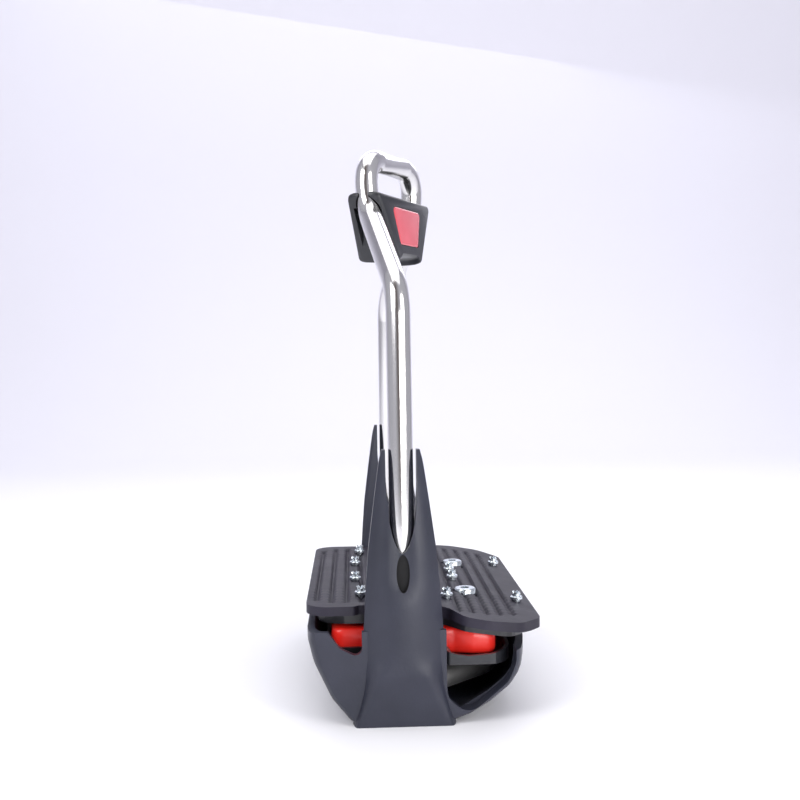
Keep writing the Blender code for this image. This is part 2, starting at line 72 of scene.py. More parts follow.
# ---------------------------------------------------------------- materials
class Nodes:
    """A material's node tree with short helpers."""

    def __init__(self, name):
        self.mat = bpy.data.materials.new(name)
        self.mat.use_nodes = True
        self.tree = self.mat.node_tree
        self.shader = self.tree.nodes["Principled BSDF"]
        coords = self.tree.nodes.new("ShaderNodeTexCoord")
        self.object = coords.outputs["Object"]

    def new(self, kind, **values):
        node = self.tree.nodes.new(kind)
        for key, value in values.items():
            if hasattr(node, key):
                setattr(node, key, value)
            else:
                node.inputs[key.replace("_", " ")].default_value = value
        return node

    def link(self, out, socket):
        self.tree.links.new(out, socket)

    def set(self, **values):
        for key, value in values.items():
            self.shader.inputs[key.replace("_", " ")].default_value = value

    def noise(self, scale, detail=3.0, stretch=(1, 1, 1)):
        mapping = self.new("ShaderNodeMapping")
        mapping.inputs["Scale"].default_value = stretch
        self.link(self.object, mapping.inputs["Vector"])
        node = self.new("ShaderNodeTexNoise", Scale=scale, Detail=detail)
        self.link(mapping.outputs[0], node.inputs["Vector"])
        return node.outputs["Fac"]

    def ramp(self, fac, stops):
        node = self.new("ShaderNodeValToRGB")
        ramp = node.color_ramp
        while len(ramp.elements) < len(stops):
            ramp.elements.new(0.5)
        for element, (position, colour) in zip(ramp.elements, stops):
            element.position = position
            element.color = colour if len(colour) == 4 else (*colour, 1)
        self.link(fac, node.inputs["Fac"])
        return node.outputs["Color"]

    def spread(self, fac, low, high):
        node = self.new("ShaderNodeMapRange", To_Min=low, To_Max=high)
        self.link(fac, node.inputs["Value"])
        return node.outputs["Result"]

    def bump(self, height, distance, strength=1.0, after=None):
        node = self.new("ShaderNodeBump", Strength=strength, Distance=distance)
        self.link(height, node.inputs["Height"])
        if after:
            self.link(after, node.inputs["Normal"])
        return node.outputs["Normal"]


def grained(name, dark, light, rough, grain=0.00006, scale=900.0, coat=0.0):
    """A moulded plastic or rubber: cloudy colour and fine grain."""
    n = Nodes(name)
    cloud = n.noise(38.0, 5.0)
    colour = n.ramp(cloud, [(0.3, dark), (0.72, light)])
    n.link(colour, n.shader.inputs["Base Color"])
    n.link(n.spread(n.noise(120.0, 4.0), *rough), n.shader.inputs["Roughness"])
    fine = n.bump(n.noise(scale, 2.0), grain, 0.6)
    n.link(n.bump(n.noise(60.0, 3.0), 0.00012, 0.25, fine), n.shader.inputs["Normal"])
    if coat:
        n.set(Coat_Weight=coat, Coat_Roughness=0.15)
    return n.mat


def metal(name, colour, rough, scratches=0.000015, stretch=(1, 1, 0.06)):
    n = Nodes(name)
    tone = n.ramp(n.noise(30.0, 4.0), [(0.3, [c * 0.93 for c in colour]), (0.7, colour)])
    n.link(tone, n.shader.inputs["Base Color"])
    n.set(Metallic=1.0)
    n.link(n.spread(n.noise(240.0, 5.0, stretch), *rough), n.shader.inputs["Roughness"])
    n.link(n.bump(n.noise(1500.0, 2.0, stretch), scratches, 0.5), n.shader.inputs["Normal"])
    return n.mat


STEEL = metal("mirror_steel", (0.78, 0.77, 0.77), (0.12, 0.2))
# Satin steel with a lighter colour: painted light for the lower loop in the base's shade.
SATIN_PAINTED_LIGHT = metal("satin_steel_painted_light", (0.90, 0.89, 0.89), (0.42, 0.5))
ZINC = metal("bright_zinc", (0.70, 0.76, 0.80), (0.16, 0.32), 0.00003, (1, 1, 1))
BRASS = metal("machined_brass", (0.76, 0.58, 0.26), (0.2, 0.35), 0.00002, (1, 1, 1))
COMPOSITE = grained("black_composite", (0.020, 0.022, 0.034), (0.032, 0.034, 0.052), (0.36, 0.48))
PLASTIC = grained("satin_black_plastic", (0.012, 0.013, 0.016), (0.02, 0.021, 0.026), (0.24, 0.36))
# Near-black painted shade for the walls of the blind drain hole under the fork's slot.
SHADOW = grained("painted_shade_recess", (0.002, 0.002, 0.003), (0.003, 0.003, 0.004), (0.8, 0.9))
RUBBER = grained("black_rubber", (0.014, 0.012, 0.022), (0.024, 0.021, 0.036), (0.5, 0.66), 0.0001, 700.0)
RED = grained("red_elastomer", (0.88, 0.012, 0.008), (0.98, 0.03, 0.018), (0.3, 0.45), 0.00005, 500.0,
              coat=0.3)
BADGE = grained("badge_red", (0.55, 0.05, 0.07), (0.72, 0.10, 0.13), (0.15, 0.25), 0.00002, 400.0, coat=0.8)


def adjust(material, **values):
    """Sets plain values on a material's shader."""
    for key, value in values.items():
        material.node_tree.nodes["Principled BSDF"].inputs[key.replace("_", " ")].default_value = value


adjust(RED, Subsurface_Weight=0.15, Subsurface_Radius=(0.004, 0.001, 0.001))
for dull in (COMPOSITE, RUBBER):
    adjust(dull, Specular_IOR_Level=0.35)


# ---------------------------------------------------------------- mesh helpers
def place(name, bm, mat, body, cad=(), sharp=32.0, bevel=0.0, segments=2):
    """A piece in the row frame from a bmesh in millimetres, riding on body and standing for the CAD nodes."""
    bmesh.ops.remove_doubles(bm, verts=bm.verts, dist=1e-4)
    bmesh.ops.recalc_face_normals(bm, faces=bm.faces)
    bmesh.ops.translate(bm, vec=(-CENTRE_X, 0, 0), verts=bm.verts)
    bmesh.ops.scale(bm, vec=(MM, MM, MM), verts=bm.verts)
    mesh = bpy.data.meshes.new(name)
    bm.to_mesh(mesh)
    bm.free()
    mesh.materials.append(mat)
    smooth(mesh, sharp)
    obj = bpy.data.objects.new(name, mesh)
    bpy.context.scene.collection.objects.link(obj)
    if bevel:
        soften(obj, bevel, segments)
    if body:
        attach(obj, body)
    if cad:
        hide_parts(*cad)
    return obj


def smooth(mesh, sharp):
    """Smooth shading, with the edges sharp that turn by more than sharp degrees."""
    mesh.shade_smooth()
    mesh.set_sharp_from_angle(angle=math.radians(sharp))


def soften(obj, width, segments=2, angle=32.0):
    """Rounds the edges that turn by more than angle degrees, width in millimetres."""
    modifier = obj.modifiers.new("soft_edges", "BEVEL")
    modifier.width = width * MM
    modifier.segments = segments
    modifier.limit_method = "ANGLE"
    modifier.angle_limit = math.radians(angle)
    modifier.harden_normals = False


def solid(rings):
    """A closed body lofted through rings that have the same number of points."""
    bm = bmesh.new()
    loops = [[bm.verts.new(p) for p in ring] for ring in rings]
    count = len(loops[0])
    for a, b in zip(loops, loops[1:]):
        for i in range(count):
            j = (i + 1) % count
            bm.faces.new((a[i], a[j], b[j], b[i]))
    bm.faces.new(loops[0])
    bm.faces.new(loops[-1])
    return bm


def rounded(corners, steps=8):
    """A closed outline from (x, y, radius) corners, each rounded by an arc."""
    points = []
    for i, (x, y, r) in enumerate(corners):
        here = Vector((x, y))
        before = Vector(corners[i - 1][:2]) - here
        after = Vector(corners[(i + 1) % len(corners)][:2]) - here
        half = before.angle(after) / 2
        turn = math.pi - 2 * half
        reach = min(r / math.tan(half), 0.49 * before.length, 0.49 * after.length)
        radius = reach * math.tan(half)
        centre = here + (before.normalized() + after.normalized()).normalized() * radius / math.sin(half)
        start = here + before.normalized() * reach - centre
        side = 1 if before.cross(after) < 0 else -1
        for k in range(steps + 1):
            angle = side * turn * k / steps
            c, s = math.cos(angle), math.sin(angle)
            points.append((centre.x + start.x * c - start.y * s, centre.y + start.x * s + start.y * c))
    return points


def twofold(corners, steps=8):
    """A rounded outline from its corners at Y < 0, with the same corners mirrored to Y > 0."""
    return rounded(corners + [(x, -y, r) for x, y, r in reversed(corners)], steps)


def inset(outline, amount):
    """The outline moved inwards by amount along its corner normals."""
    count = len(outline)
    area = sum(outline[i - 1][0] * outline[i][1] - outline[i][0] * outline[i - 1][1] for i in range(count))
    sign = 1 if area > 0 else -1
    moved = []
    for i, (x, y) in enumerate(outline):
        a, b = Vector(outline[i - 1]), Vector(outline[(i + 1) % count])
        along = (b - a).normalized()
        moved.append((x - sign * along.y * amount, y + sign * along.x * amount))
    return moved


def slab(outline, low, high):
    """An (x, y) outline from one height to another."""
    return solid([[(x, y, z) for x, y in outline] for z in (low, high)])


def prism(outline, near, far):
    """An (x, z) outline from one Y to another."""
    return solid([[(x, y, z) for x, z in outline] for y in (near, far)])


def circle(centre, radius, height, sides):
    """Points round a vertical axis."""
    return [(centre[0] + radius * math.cos(2 * math.pi * k / sides),
             centre[1] + radius * math.sin(2 * math.pi * k / sides), height) for k in range(sides)]


def turned(profile, centre=(0, 0), sides=32):
    """A round body on a vertical axis from its (radius, height) profile."""
    return solid([circle(centre, radius, height, sides) for radius, height in profile])


def merge(*parts):
    """One bmesh that holds several bodies."""
    whole = bmesh.new()
    for part in parts:
        mesh = bpy.data.meshes.new("part")
        part.to_mesh(mesh)
        part.free()
        whole.from_mesh(mesh)
        bpy.data.meshes.remove(mesh)
    return whole


def mirrored(bm):
    """The body with its mirror image across Y = 0."""
    other = bm.copy()
    bmesh.ops.scale(other, vec=(1, -1, 1), verts=other.verts)
    bmesh.ops.reverse_faces(other, faces=other.faces)
    return merge(bm, other)


def cut(target, bm, operation="DIFFERENCE", mat=None):
    """Cuts bm, a bmesh in millimetres, out of target, or joins it on. The cut faces can take mat."""
    name = f"tool_{target.name}_{len(target.modifiers)}"
    tool = place(name, bm, mat or target.data.materials[0], None)
    modifier = target.modifiers.new("cut", "BOOLEAN")
    modifier.object = tool
    modifier.operation = operation
    modifier.solver = "EXACT"
    if mat:
        modifier.material_mode = "TRANSFER"
    return tool


def bake(obj, tools, sharp):
    """Applies obj's modifiers, removes the tools they used and shades the result."""
    depsgraph = bpy.context.evaluated_depsgraph_get()
    mesh = bpy.data.meshes.new_from_object(obj.evaluated_get(depsgraph))
    obj.modifiers.clear()
    obj.data = mesh
    for tool in tools:
        bpy.data.objects.remove(tool)
    smooth(mesh, sharp)


def filleted(corners, radii, step):
    """A closed path in space with an arc of the given radius at each corner."""
    points = []
    count = len(corners)
    for i, here in enumerate(corners):
        to_a = (corners[i - 1] - here).normalized()
        to_b = (corners[(i + 1) % count] - here).normalized()
        half = to_a.angle(to_b) / 2
        reach = radii[i] / math.tan(half)
        centre = here + (to_a + to_b).normalized() * radii[i] / math.sin(half)
        turn = math.pi - 2 * half
        start = here + to_a * reach - centre
        normal = to_a.cross(to_b).normalized()
        steps = max(3, round(turn / step))
        for k in range(steps + 1):
            points.append(centre + Matrix.Rotation(-turn * k / steps, 3, normal) @ start)
    return points


def ring_tube(path, radius, sides):
    """A closed tube along a closed path, its cross-section carried round without twist."""
    bm = bmesh.new()
    count = len(path)
    tangents = [(path[(i + 1) % count] - path[i - 1]).normalized() for i in range(count)]
    normal = tangents[0].orthogonal().normalized()
    normals = [normal]
    for a, b in zip(tangents, tangents[1:] + tangents[:1]):
        normal = a.rotation_difference(b) @ normal
        normals.append(normal)
    twist = normals[-1].angle(normals[0])
    if normals[-1].cross(normals[0]).dot(tangents[0]) < 0:
        twist = -twist
    step = 2 * math.pi / sides
    twist -= round(twist / step) * step
    loops = []
    for i, (p, t) in enumerate(zip(path, tangents)):
        side = Matrix.Rotation(twist * i / count, 3, t) @ normals[i]
        up = t.cross(side)
        loops.append([bm.verts.new(p + radius * (side * math.cos(k * step) + up * math.sin(k * step)))
                      for k in range(sides)])
    for i in range(count):
        a, b = loops[i], loops[(i + 1) % count]
        for k in range(sides):
            m = (k + 1) % sides
            bm.faces.new((a[k], a[m], b[m], b[k]))
    return bm


# ---------------------------------------------------------------- steel frame
FINE_STEP = math.radians(4)
BORE_STEP = math.radians(8)
ROD_CLEAR = 0.35
EYE_X = EYE_HALF * math.sin(EYE_TURN)
EYE_Y = EYE_HALF * math.cos(EYE_TURN)


def frame_tube(radius, step=FINE_STEP):
    """The frame's rod, or a bore for it, as one closed loop: eye, shoulders, legs and lower loop."""
    near = [
        (Vector((-EYE_X, -EYE_Y, EYE_Z)), 9.5),
        (Vector((-EYE_X + 1.0, -EYE_Y - 0.8, 169.0)), 14.0),
        (Vector((0, -57.5, 139.0)), 16.0),
        (Vector((0, -LEG_Y, 62.0)), 60.0),
        (Vector((0, -LEG_Y + 1.5, LOOP.z)), 7.0),
        (Vector((LOOP.x, -LOOP.y, LOOP.z)), 11.0),
    ]
    far = [(Vector((-p.x if p.z > 150 else p.x, -p.y, p.z)), r) for p, r in reversed(near)]
    corners, radii = zip(*(near + far))
    return ring_tube(filleted(corners, radii, step), radius, 32)


rod = place("frame_rod", frame_tube(ROD_R), STEEL, "frame", ["steel_frame"])
# The lower loop inside the base has a satin finish, painted lighter to stand in for light on it in the base's
# dark cavity.
rod.data.materials.append(SATIN_PAINTED_LIGHT)
for face in rod.data.polygons:
    face.material_index = int(face.center.z < LOOP_TOP * MM)

# ---------------------------------------------------------------- base
# Corners (x, z, radius) of the section at the end walls, outside and inside the wall.
BASE_OUT = [(-17, 0, 5), (15, 0, 6), (22, 2.6, 8), (28.5, 6.6, 10), (35, 11.8, 10), (37.8, 16, 6),
            (38.6, 20, 6), (38.6, 42, 1), (-31, 42, 1), (-31, 27, 6), (-29.4, 20, 14), (-24, 8.5, 12)]
BASE_IN = [(-15.8, 2.2, 4), (14.5, 2.2, 5), (20.8, 4.8, 8), (27.2, 8.6, 10), (33.2, 13.2, 9), (35.8, 17, 6),
           (36.4, 21, 6), (36.4, 50, 1), (-28.8, 50, 1), (-28.8, 27.2, 6), (-27.3, 20.6, 14),
           (-22.2, 9.6, 12)]
# How far each corner moves by the middle of the base, where its front is fuller.
BELLY = [(0, 0), (7, 0), (7.5, -1.8), (7, -2.8), (4.6, -2.4), (3.6, -1.5), (3, 0), (3, 0),
         (0, 0), (0, 0), (0, 0), (0, 0)]
BASE_MID = 4.3           # the end walls curve in towards this X
FAR_OUT = 80.0           # cutters along Y end outside the part
BASE_END = 65.2
BASE_END_IN = 62.8


def base_solid(outline, end):
    """The base's block, or its cavity, from one end wall to the other."""
    # Distance from the end, share of the full section, lift of the floor, share of the belly.
    half = [(0, 0.92, 1.2, 0), (0.5, 0.938, 0.85, 0), (1.5, 0.96, 0.5, 0), (2.8, 0.975, 0.2, 0.01),
            (4.5, 0.985, 0, 0.03), (7, 0.994, 0, 0.12), (10, 1, 0, 0.25), (13.5, 1, 0, 0.43),
            (17, 1, 0, 0.62), (20.5, 1, 0, 0.78), (24, 1, 0, 0.9), (28, 1, 0, 0.97), (32, 1, 0, 1)]
    rings = [(back - end, *rest) for back, *rest in half]
    rings += [(-y, *rest) for y, *rest in reversed(rings)]
    sections = []
    for y, share, rise, belly in rings:
        corners = [(BASE_MID + (x + dx * belly - BASE_MID) * share,
                    z + dz * belly + rise * max(0.0, 1 - z / 12), r)
                   for (x, z, r), (dx, dz) in zip(outline, BELLY)]
        sections.append([(x, y, z) for x, z in rounded(corners, 5)])
    return solid(sections)


UPRIGHT_TOP = 89.5
UPRIGHT = [  # height, half width, outer face, inner face
    (0.0, 15.6, 66.8, 56.0), (6.0, 14.2, 67.7, 56.0), (13.0, 13.1, 68.6, 56.0), (16.0, 13.0, 69.3, 56.0),
    (28.0, 12.9, 69.5, 56.0), (45.0, 11.8, 69.3, 56.0), (56.0, 10.9, 68.8, 56.1), (72.0, 8.8, 67.3, 56.6),
    (82.0, 7.4, 66.0, 57.0), (UPRIGHT_TOP, 6.2, 64.2, 58.0)]
FOOT_TOP = 16.0          # the slanted foot ends here in a crease
FOOT_HALF = 13.0         # half width at the crease
CREASE_HALF = 6.5        # half width of the foot's flat face at the crease


def along_upright(z):
    """Half width, outer face and inner face of an upright at height z."""
    for a, b in zip(UPRIGHT, UPRIGHT[1:]):
        if z <= b[0]:
            t = (z - a[0]) / (b[0] - a[0])
            return [p + (q - p) * t for p, q in zip(a[1:], b[1:])]
    return UPRIGHT[-1][1:]


def ease(t):
    """Smooth step from 0 at t <= 0 to 1 at t >= 1."""
    t = min(1.0, max(0.0, t))
    return t * t * (3 - 2 * t)


def upright():
    """An upright: a slanted foot under a crease, a rounded column and a fork with a hollowed front."""
    rings = []
    levels = [0, 2.5, 5, 7.5, 10, 12.5, 14.5, 15.6, 16.2, 17.4, 19.5, 22, 25]
    levels += [28 + 2.5 * k for k in range(25)]
    for z in levels:
        spans = [along_upright(min(UPRIGHT_TOP, max(0, z + d))) for d in (-2, -1, 0, 1, 2)]
        half, outer, inner = [sum(s[i] for s in spans) / len(spans) for i in range(3)]
        tip = max(0.0, (z - 85) / 4.5)
        half -= 0.5 * tip
        outer -= 1.2 * tip * tip
        inner += 0.6 * tip * tip
        if z < FOOT_TOP:
            half = FOOT_HALF + 3.6 * (1 - z / FOOT_TOP) ** 1.3
            flat = CREASE_HALF + 8.6 * (1 - z / FOOT_TOP)
        else:
            flat = CREASE_HALF * (1 - ease((z - FOOT_TOP) / 7))
        hollow = 1.7 * ease((z - 39) / 9) * (1 - 0.5 * ease((z - 66) / 18))
        ring = []
        steps = 26
        for k in range(steps + 1):
            x = half * math.sin((-1 + 2 * k / steps) * math.pi / 2)
            u = max(0.0, (abs(x) - flat) / (half - flat))
            y = outer - 0.40 * (outer - inner) * u ** 2.2
            y -= hollow * math.exp(-((abs(x) - 0.5) / (0.46 * half)) ** 2 * 1.4)
            ring.append((x, -y, z))
        ring += [(half, -(inner + 1.5), z), (0.88 * half, -inner, z), (-0.88 * half, -inner, z),
                 (-half, -(inner + 1.5), z)]
        rings.append(ring)
    return solid(rings)


base = place("base_body", base_solid(BASE_OUT, BASE_END), COMPOSITE, "frame", ["base_shell"])
RIM = [(-60, 30.4), (18, 30.4), (34, 23.4), (60, 23.4), (60, 70), (-60, 70)]
SADDLE_BLOCK = [(18.0, 1.2), (26, 1.6), (35, 5.6), (38.5, 10.4), (18.0, 10.4)]
tools = [cut(base, base_solid(BASE_IN, BASE_END_IN)), cut(base, prism(RIM, -FAR_OUT, FAR_OUT)),
         cut(base, mirrored(upright()), "UNION"), cut(base, mirrored(prism(SADDLE_BLOCK, 13, 23)), "UNION")]

POST_TOP = 17.6
posts = [turned([(3.2, 1.2), (3.2, POST_TOP)], (x, y), 24) for x in (-14.0, 19.0) for y in (-6, 6)]
posts += [turned([(2.6, 1.2), (2.6, POST_TOP)], (x, y), 24) for x in (-12.0, 11.0) for y in (-38, 38)]
tools += [cut(base, merge(*posts), "UNION"), cut(base, frame_tube(ROD_R + ROD_CLEAR, BORE_STEP))]

# The fork's slot, the blind drain hole under it, the end windows and notches, and the floor window.
SLOT = [(5.0, 76), (4.7, 71), (4.15, 66), (3.3, 61.5), (2.1, 58), (0.9, 56), (0.0, 55.4)]
fork = [(5.0, 100)] + SLOT + [(-x, z) for x, z in reversed(SLOT[:-1])] + [(-5.0, 100)]
tools.append(cut(base, prism(fork, -FAR_OUT, FAR_OUT)))
DRAIN_HALF_X, DRAIN_HALF_Z = 2.1, 6.0
DRAIN_Z = 49.2
drain = [(DRAIN_HALF_X * math.cos(a), DRAIN_Z + DRAIN_HALF_Z * math.sin(a))
         for a in (2 * math.pi * k / 32 for k in range(32))]
# The drain hole's walls take the near-black painted shade.
tools.append(cut(base, mirrored(prism(drain, -FAR_OUT, -66.6)), mat=SHADOW))
WINDOW = [(13.6, 60, 1), (13.6, 8.6, 5), (20.5, 2.6, 7), (33.6, 13.4, 9), (36.0, 19.6, 6), (36.0, 60, 1)]
NOTCH = [(-13.4, 60, 1), (-13.4, 21.6, 2.2), (-20.5, 25.2, 5), (-24.6, 31, 4), (-24.8, 60, 1)]
end_openings = [prism(rounded(outline), -FAR_OUT, -59) for outline in (WINDOW, NOTCH)]
tools.append(cut(base, mirrored(merge(*end_openings))))
FLOOR_WINDOW = [(-10, -30, 6), (12, -30, 6), (12, 30, 6), (-10, 30, 6)]
tools.append(cut(base, slab(rounded(FLOOR_WINDOW), -5, 4)))
bake(base, tools, 30)
soften(base, 0.35, 2, 34.0)

# ---------------------------------------------------------------- tread
BED = twofold([(-31.5, -57, 12), (-15.6, -57, 1.5), (-14.4, -55.2, 1.2), (14.6, -55.2, 5), (19.6, -67.2, 6),
               (27, -69.2, 8), (37.5, -66.8, 8), (45.5, -55, 9)])
GROOVES = [-28.2, -23.2, -18.2, -13.2, 18.2, 22.7, 27.3, 31.8, 36.3]
GROOVE_HALF = 0.85
GROOVE_DEPTH = 1.15
NOTCH_PITCH = 4.2
NOTCH_DEPTH = 0.45


def fall(x):
    """How far the tread has dropped at x, eased over its bend."""
    run = x - BEND_X
    if run <= -4:
        return 0.0
    if run < 4:
        return FALL * (run + 4) ** 2 / 16
    return FALL * run


def drape(bm):
    """Lets a level sheet down over the tread's bend."""
    for v in bm.verts:
        v.co.z -= fall(v.co.x)
    return bm


def pad_sheet():
    """The pad's ribbed top on a fine grid, down to its underside, before its outline is cut."""
    bm = bmesh.new()
    low = TREAD_Z - PAD_T
    xs = [-32.5 + 0.5 * i for i in range(159)]
    ys = [-70.3 + 0.95 * j for j in range(149)]
    grid = [[bm.verts.new((x, y, TREAD_Z + ribs(x, y))) for y in ys] for x in xs]
    for a, b in zip(grid, grid[1:]):
        for j in range(len(ys) - 1):
            bm.faces.new((a[j], b[j], b[j + 1], a[j + 1]))
    edge = ([c[0] for c in grid] + grid[-1][1:] + [c[-1] for c in reversed(grid[:-1])]
            + list(reversed(grid[0][1:-1])))
    floor = [bm.verts.new((v.co.x, v.co.y, low)) for v in edge]
    for i in range(len(edge)):
        j = (i + 1) % len(edge)
        bm.faces.new((edge[i], edge[j], floor[j], floor[i]))
    bm.faces.new(floor)
    return bm


def ribs(x, y):
    """Depth of the ribbing: grooves along Y with small notches beside them, inside a plain border."""
    reach = 60.0 - 0.55 * max(0.0, x - 30) if x > 17 else 51.0
    if abs(x) > 27 and x < 0:
        reach = 47.0
    border = min(1.0, max(0.0, (reach - abs(y)) / 1.3))
    if not border:
        return 0.0
    off = min(abs(x - g) for g in GROOVES)
    groove = max(0.0, 1 - (off / GROOVE_HALF) ** 2)
    notch = max(0.0, math.cos(2 * math.pi * y / NOTCH_PITCH) - 0.2) / 0.8
    beside = max(0.0, 1 - abs(off - 1.1) / 0.7) * ease((abs(y) - 22) / 12)
    return -border * (GROOVE_DEPTH * groove ** 0.7 + NOTCH_DEPTH * notch * beside)


pad = place("tread_rubber", drape(pad_sheet()), RUBBER, "tread", ["tread_pad"], sharp=50)
cutters = [turned([(4.4, 10), (4.4, 60)], (SCREW.x, s * SCREW.y), 40) for s in (-1, 1)]
cutters += [turned([(1.6, 10), (1.6, 60)], p, 20) for p in STUDS]
tools = [cut(pad, slab(BED, 10, 60), "INTERSECT"), cut(pad, merge(*cutters))]
bake(pad, tools, 48)
soften(pad, 0.45, 3, 60.0)


def castle(r_out, r_in, low, high, teeth, centre):
    """A castellated ring, as on the tip of a grip stud."""
    rings = []
    steps = teeth * 4
    tops = [high if (k // 2) % 2 == 0 else low + 0.35 * (high - low) for k in range(steps)]
    for r, flat in ((r_in, low), (r_out, low), (r_out, None), (r_in, None)):
        rings.append([(centre[0] + r * math.cos(2 * math.pi * k / steps),
                       centre[1] + r * math.sin(2 * math.pi * k / steps), tops[k] if flat is None else flat)
                      for k in range(steps)])
    bm = bmesh.new()
    loops = [[bm.verts.new(p) for p in ring] for ring in rings]
    for a, b in zip(loops, loops[1:] + loops[:1]):
        for k in range(steps):
            j = (k + 1) % steps
            bm.faces.new((a[k], a[j], b[j], b[k]))
    return bm


for number, (x, y) in enumerate(STUDS, 1):
    seat = TREAD_Z - fall(x - 2.2) + 0.3
    foot = TREAD_Z - fall(x) - PAD_T - 0.3 - 2.5
    collar = [(1.3, 0), (1.95, 0), (2.1, 0.15), (2.1, 1.0), (1.9, 1.2), (1.45, 1.3), (1.4, 2.0), (0.95, 2.1)]
    shank = turned([(1.0, foot), (1.3, foot + 0.3)] + [(r, seat + up) for r, up in collar], (x, y), 24)
    tip = castle(1.5, 0.95, seat + 1.9, seat + 2.9, 6, (x, y))
    place(f"stud_{number}", merge(shank, tip), ZINC, "tread", [f"grip_stud_{number}"], 30, 0.06, 1)

for side, name in ((-1, "near"), (1, "far")):
    place_xy = (SCREW.x, side * SCREW.y)
    top = 35.7
    body = turned([(2.2, 22.2), (2.5, 22.6), (2.5, SCREW.z), (3.6, SCREW.z), (3.75, SCREW.z + 0.2),
                   (3.75, top - 0.5), (3.6, top - 0.2), (3.3, top), (2.4, top + 0.02)], place_xy, 48)
    screw = place(f"tread_bolt_{name}", body, ZINC, "press", [f"tread_screw_{name}"], 30)
    socket = turned([(1.75, 34.2), (1.75, 40)], place_xy, 6)
    bake(screw, [cut(screw, socket)], 32)

# ---------------------------------------------------------------- cushions
CUSHION = [(-23.4, -53.6, 4), (17, -53.6, 4), (23, -55.4, 5), (30.8, -55.4, 7), (30.8, -11.5, 5),
           (-23.4, -11.5, 5)]
CROWN = 0.026            # fall of the cushion's top per millimetre away from the screw line
# Share of the height, and how far the side is pulled in there.
CUSHION_SIDE = [(0, 1.0), (0.05, 0.45), (0.13, 0.12), (0.3, 0.0), (0.5, 0.0), (0.7, 0.0), (0.87, 0.12),
                (0.95, 0.45), (1.0, 1.0)]
# The well for the insert leaves it room to sink with the tread.
WELL = [(4.0, 19.95), (4.0, 24.2), (5.4, 24.2), (5.4, 60)]
for side, name in ((1, "near"), (-1, "far")):
    outline = [(x, side * y) for x, y in rounded(CUSHION)]
    rings = []
    for share, pull in CUSHION_SIDE:
        ring = []
        for x, y in inset(outline, pull):
            # The top is crowned, so that the tread can rock on it.
            top = PLATE_LOW - 0.3 - fall(x) - CROWN * abs(x - SCREW.x)
            ring.append((x, y, CUSHION_LOW + share * (top - CUSHION_LOW)))
        rings.append(ring)
    cushion = place(f"cushion_block_{name}", solid(rings), RED, "frame", [f"cushion_{name}"], 60)
    bake(cushion, [cut(cushion, turned(WELL, (SCREW.x, -side * SCREW.y)))], 45)
    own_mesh(cushion)

# ---------------------------------------------------------------- clip
CLIP_HALF = EYE_HALF + 5.2
CLIP_TOP = 175.4
SHIELD = [(-CLIP_HALF, CLIP_TOP, 1.2), (-13.0, 154.4, 2.5), (-10.8, 150.8, 1.4), (-7.6, 153.4, 3),
          (7.6, 153.4, 3), (10.8, 150.8, 1.4), (13.0, 154.4, 2.5), (CLIP_HALF, CLIP_TOP, 1.2)]
SHELL_EDGE = [(0.2, 0.0), (2.5, 0.05), (4.2, 0.2), (5.3, 0.5), (6.0, 0.9), (6.3, 1.4)]
TURN = Matrix.Rotation(-CLIP_TURN, 4, "Z")


def turned_to_clip(bm):
    """Turns a body from the plane of the legs to the clip's own plane."""
    bmesh.ops.transform(bm, matrix=TURN, verts=bm.verts)
    return bm


def swell(z):
    """How much thicker the clip is at height z than at its top."""
    return 1 + 0.012 * (CLIP_TOP - z)


def clip_shell(sign):
    """One shell of the clip: its face tapers in from the outline."""
    outline = rounded(SHIELD, 5)
    return turned_to_clip(solid([[(sign * depth * swell(z), y * (1 - pull / 24),
                                   z + (pull if z < 165 else -pull * 0.8)) for y, z in outline]
                                 for depth, pull in SHELL_EDGE]))


def along_x(places, profile, sides=24):
    """Round bodies across the clip, one at each (y, z) place."""
    bodies = []
    for y, z in places:
        bm = turned(profile, (0, 0), sides)
        quarter = Matrix.Rotation(math.radians(90), 3, "Y")
        bmesh.ops.rotate(bm, cent=(0, 0, 0), matrix=quarter, verts=bm.verts)
        bmesh.ops.translate(bm, vec=(0, y, z), verts=bm.verts)
        bodies.append(bm)
    return turned_to_clip(merge(*bodies))


CLIP_SCREWS = [(-7.5, 166.0), (7.5, 166.0)]
BADGE_EDGE = rounded([(-8.4, 157.6, 2), (8.4, 157.6, 2), (13.4, 171.4, 2), (-13.4, 171.4, 2)], 6)
HOLLOW = [(-40, 140), (-13.5, 140), (-14.5, 158), (-15.2, 170), (-40, 170)]
SLIT = [(1.7, 180), (2.2, 169), (-2.2, 169), (-1.7, 180)]


def badge_solid(levels):
    """The badge, or its seat, from (depth, inset) levels."""
    return turned_to_clip(solid([[(depth * swell(z), y, z) for y, z in inset(BADGE_EDGE, pull)]
                                 for depth, pull in levels]))


for sign, name in ((1, "front"), (-1, "rear")):
    shell = place(f"clip_shell_{name}", clip_shell(sign), PLASTIC, "frame", [f"clip_{name}"], 30)
    tools = [cut(shell, frame_tube(ROD_R + ROD_CLEAR, BORE_STEP)),
             cut(shell, along_x(CLIP_SCREWS, [(1.5, -20), (1.5, 20)]))]
    hollow = solid([[(x, y, z) for y, z in HOLLOW] for x in (-4.8, 4.8)])
    tools.append(cut(shell, turned_to_clip(mirrored(merge(hollow, prism(SLIT, -40, -19))))))
    if sign > 0:
        tools.append(cut(shell, along_x(CLIP_SCREWS, [(3.0, 3.3), (3.0, 20)], 6)))
        tools.append(cut(shell, badge_solid([(5.6, 0), (12, 0)])))
    else:
        tools.append(cut(shell, along_x(CLIP_SCREWS, [(2.6, -20), (2.6, -4.4)])))
    bake(shell, tools, 30)
    soften(shell, 0.25, 2, 40.0)
place("badge_plate", badge_solid([(5.8, 0.3), (6.25, 0.3), (6.4, 0.5), (6.45, 1.0)]), BADGE, "frame",
      ["clip_badge"], 40)

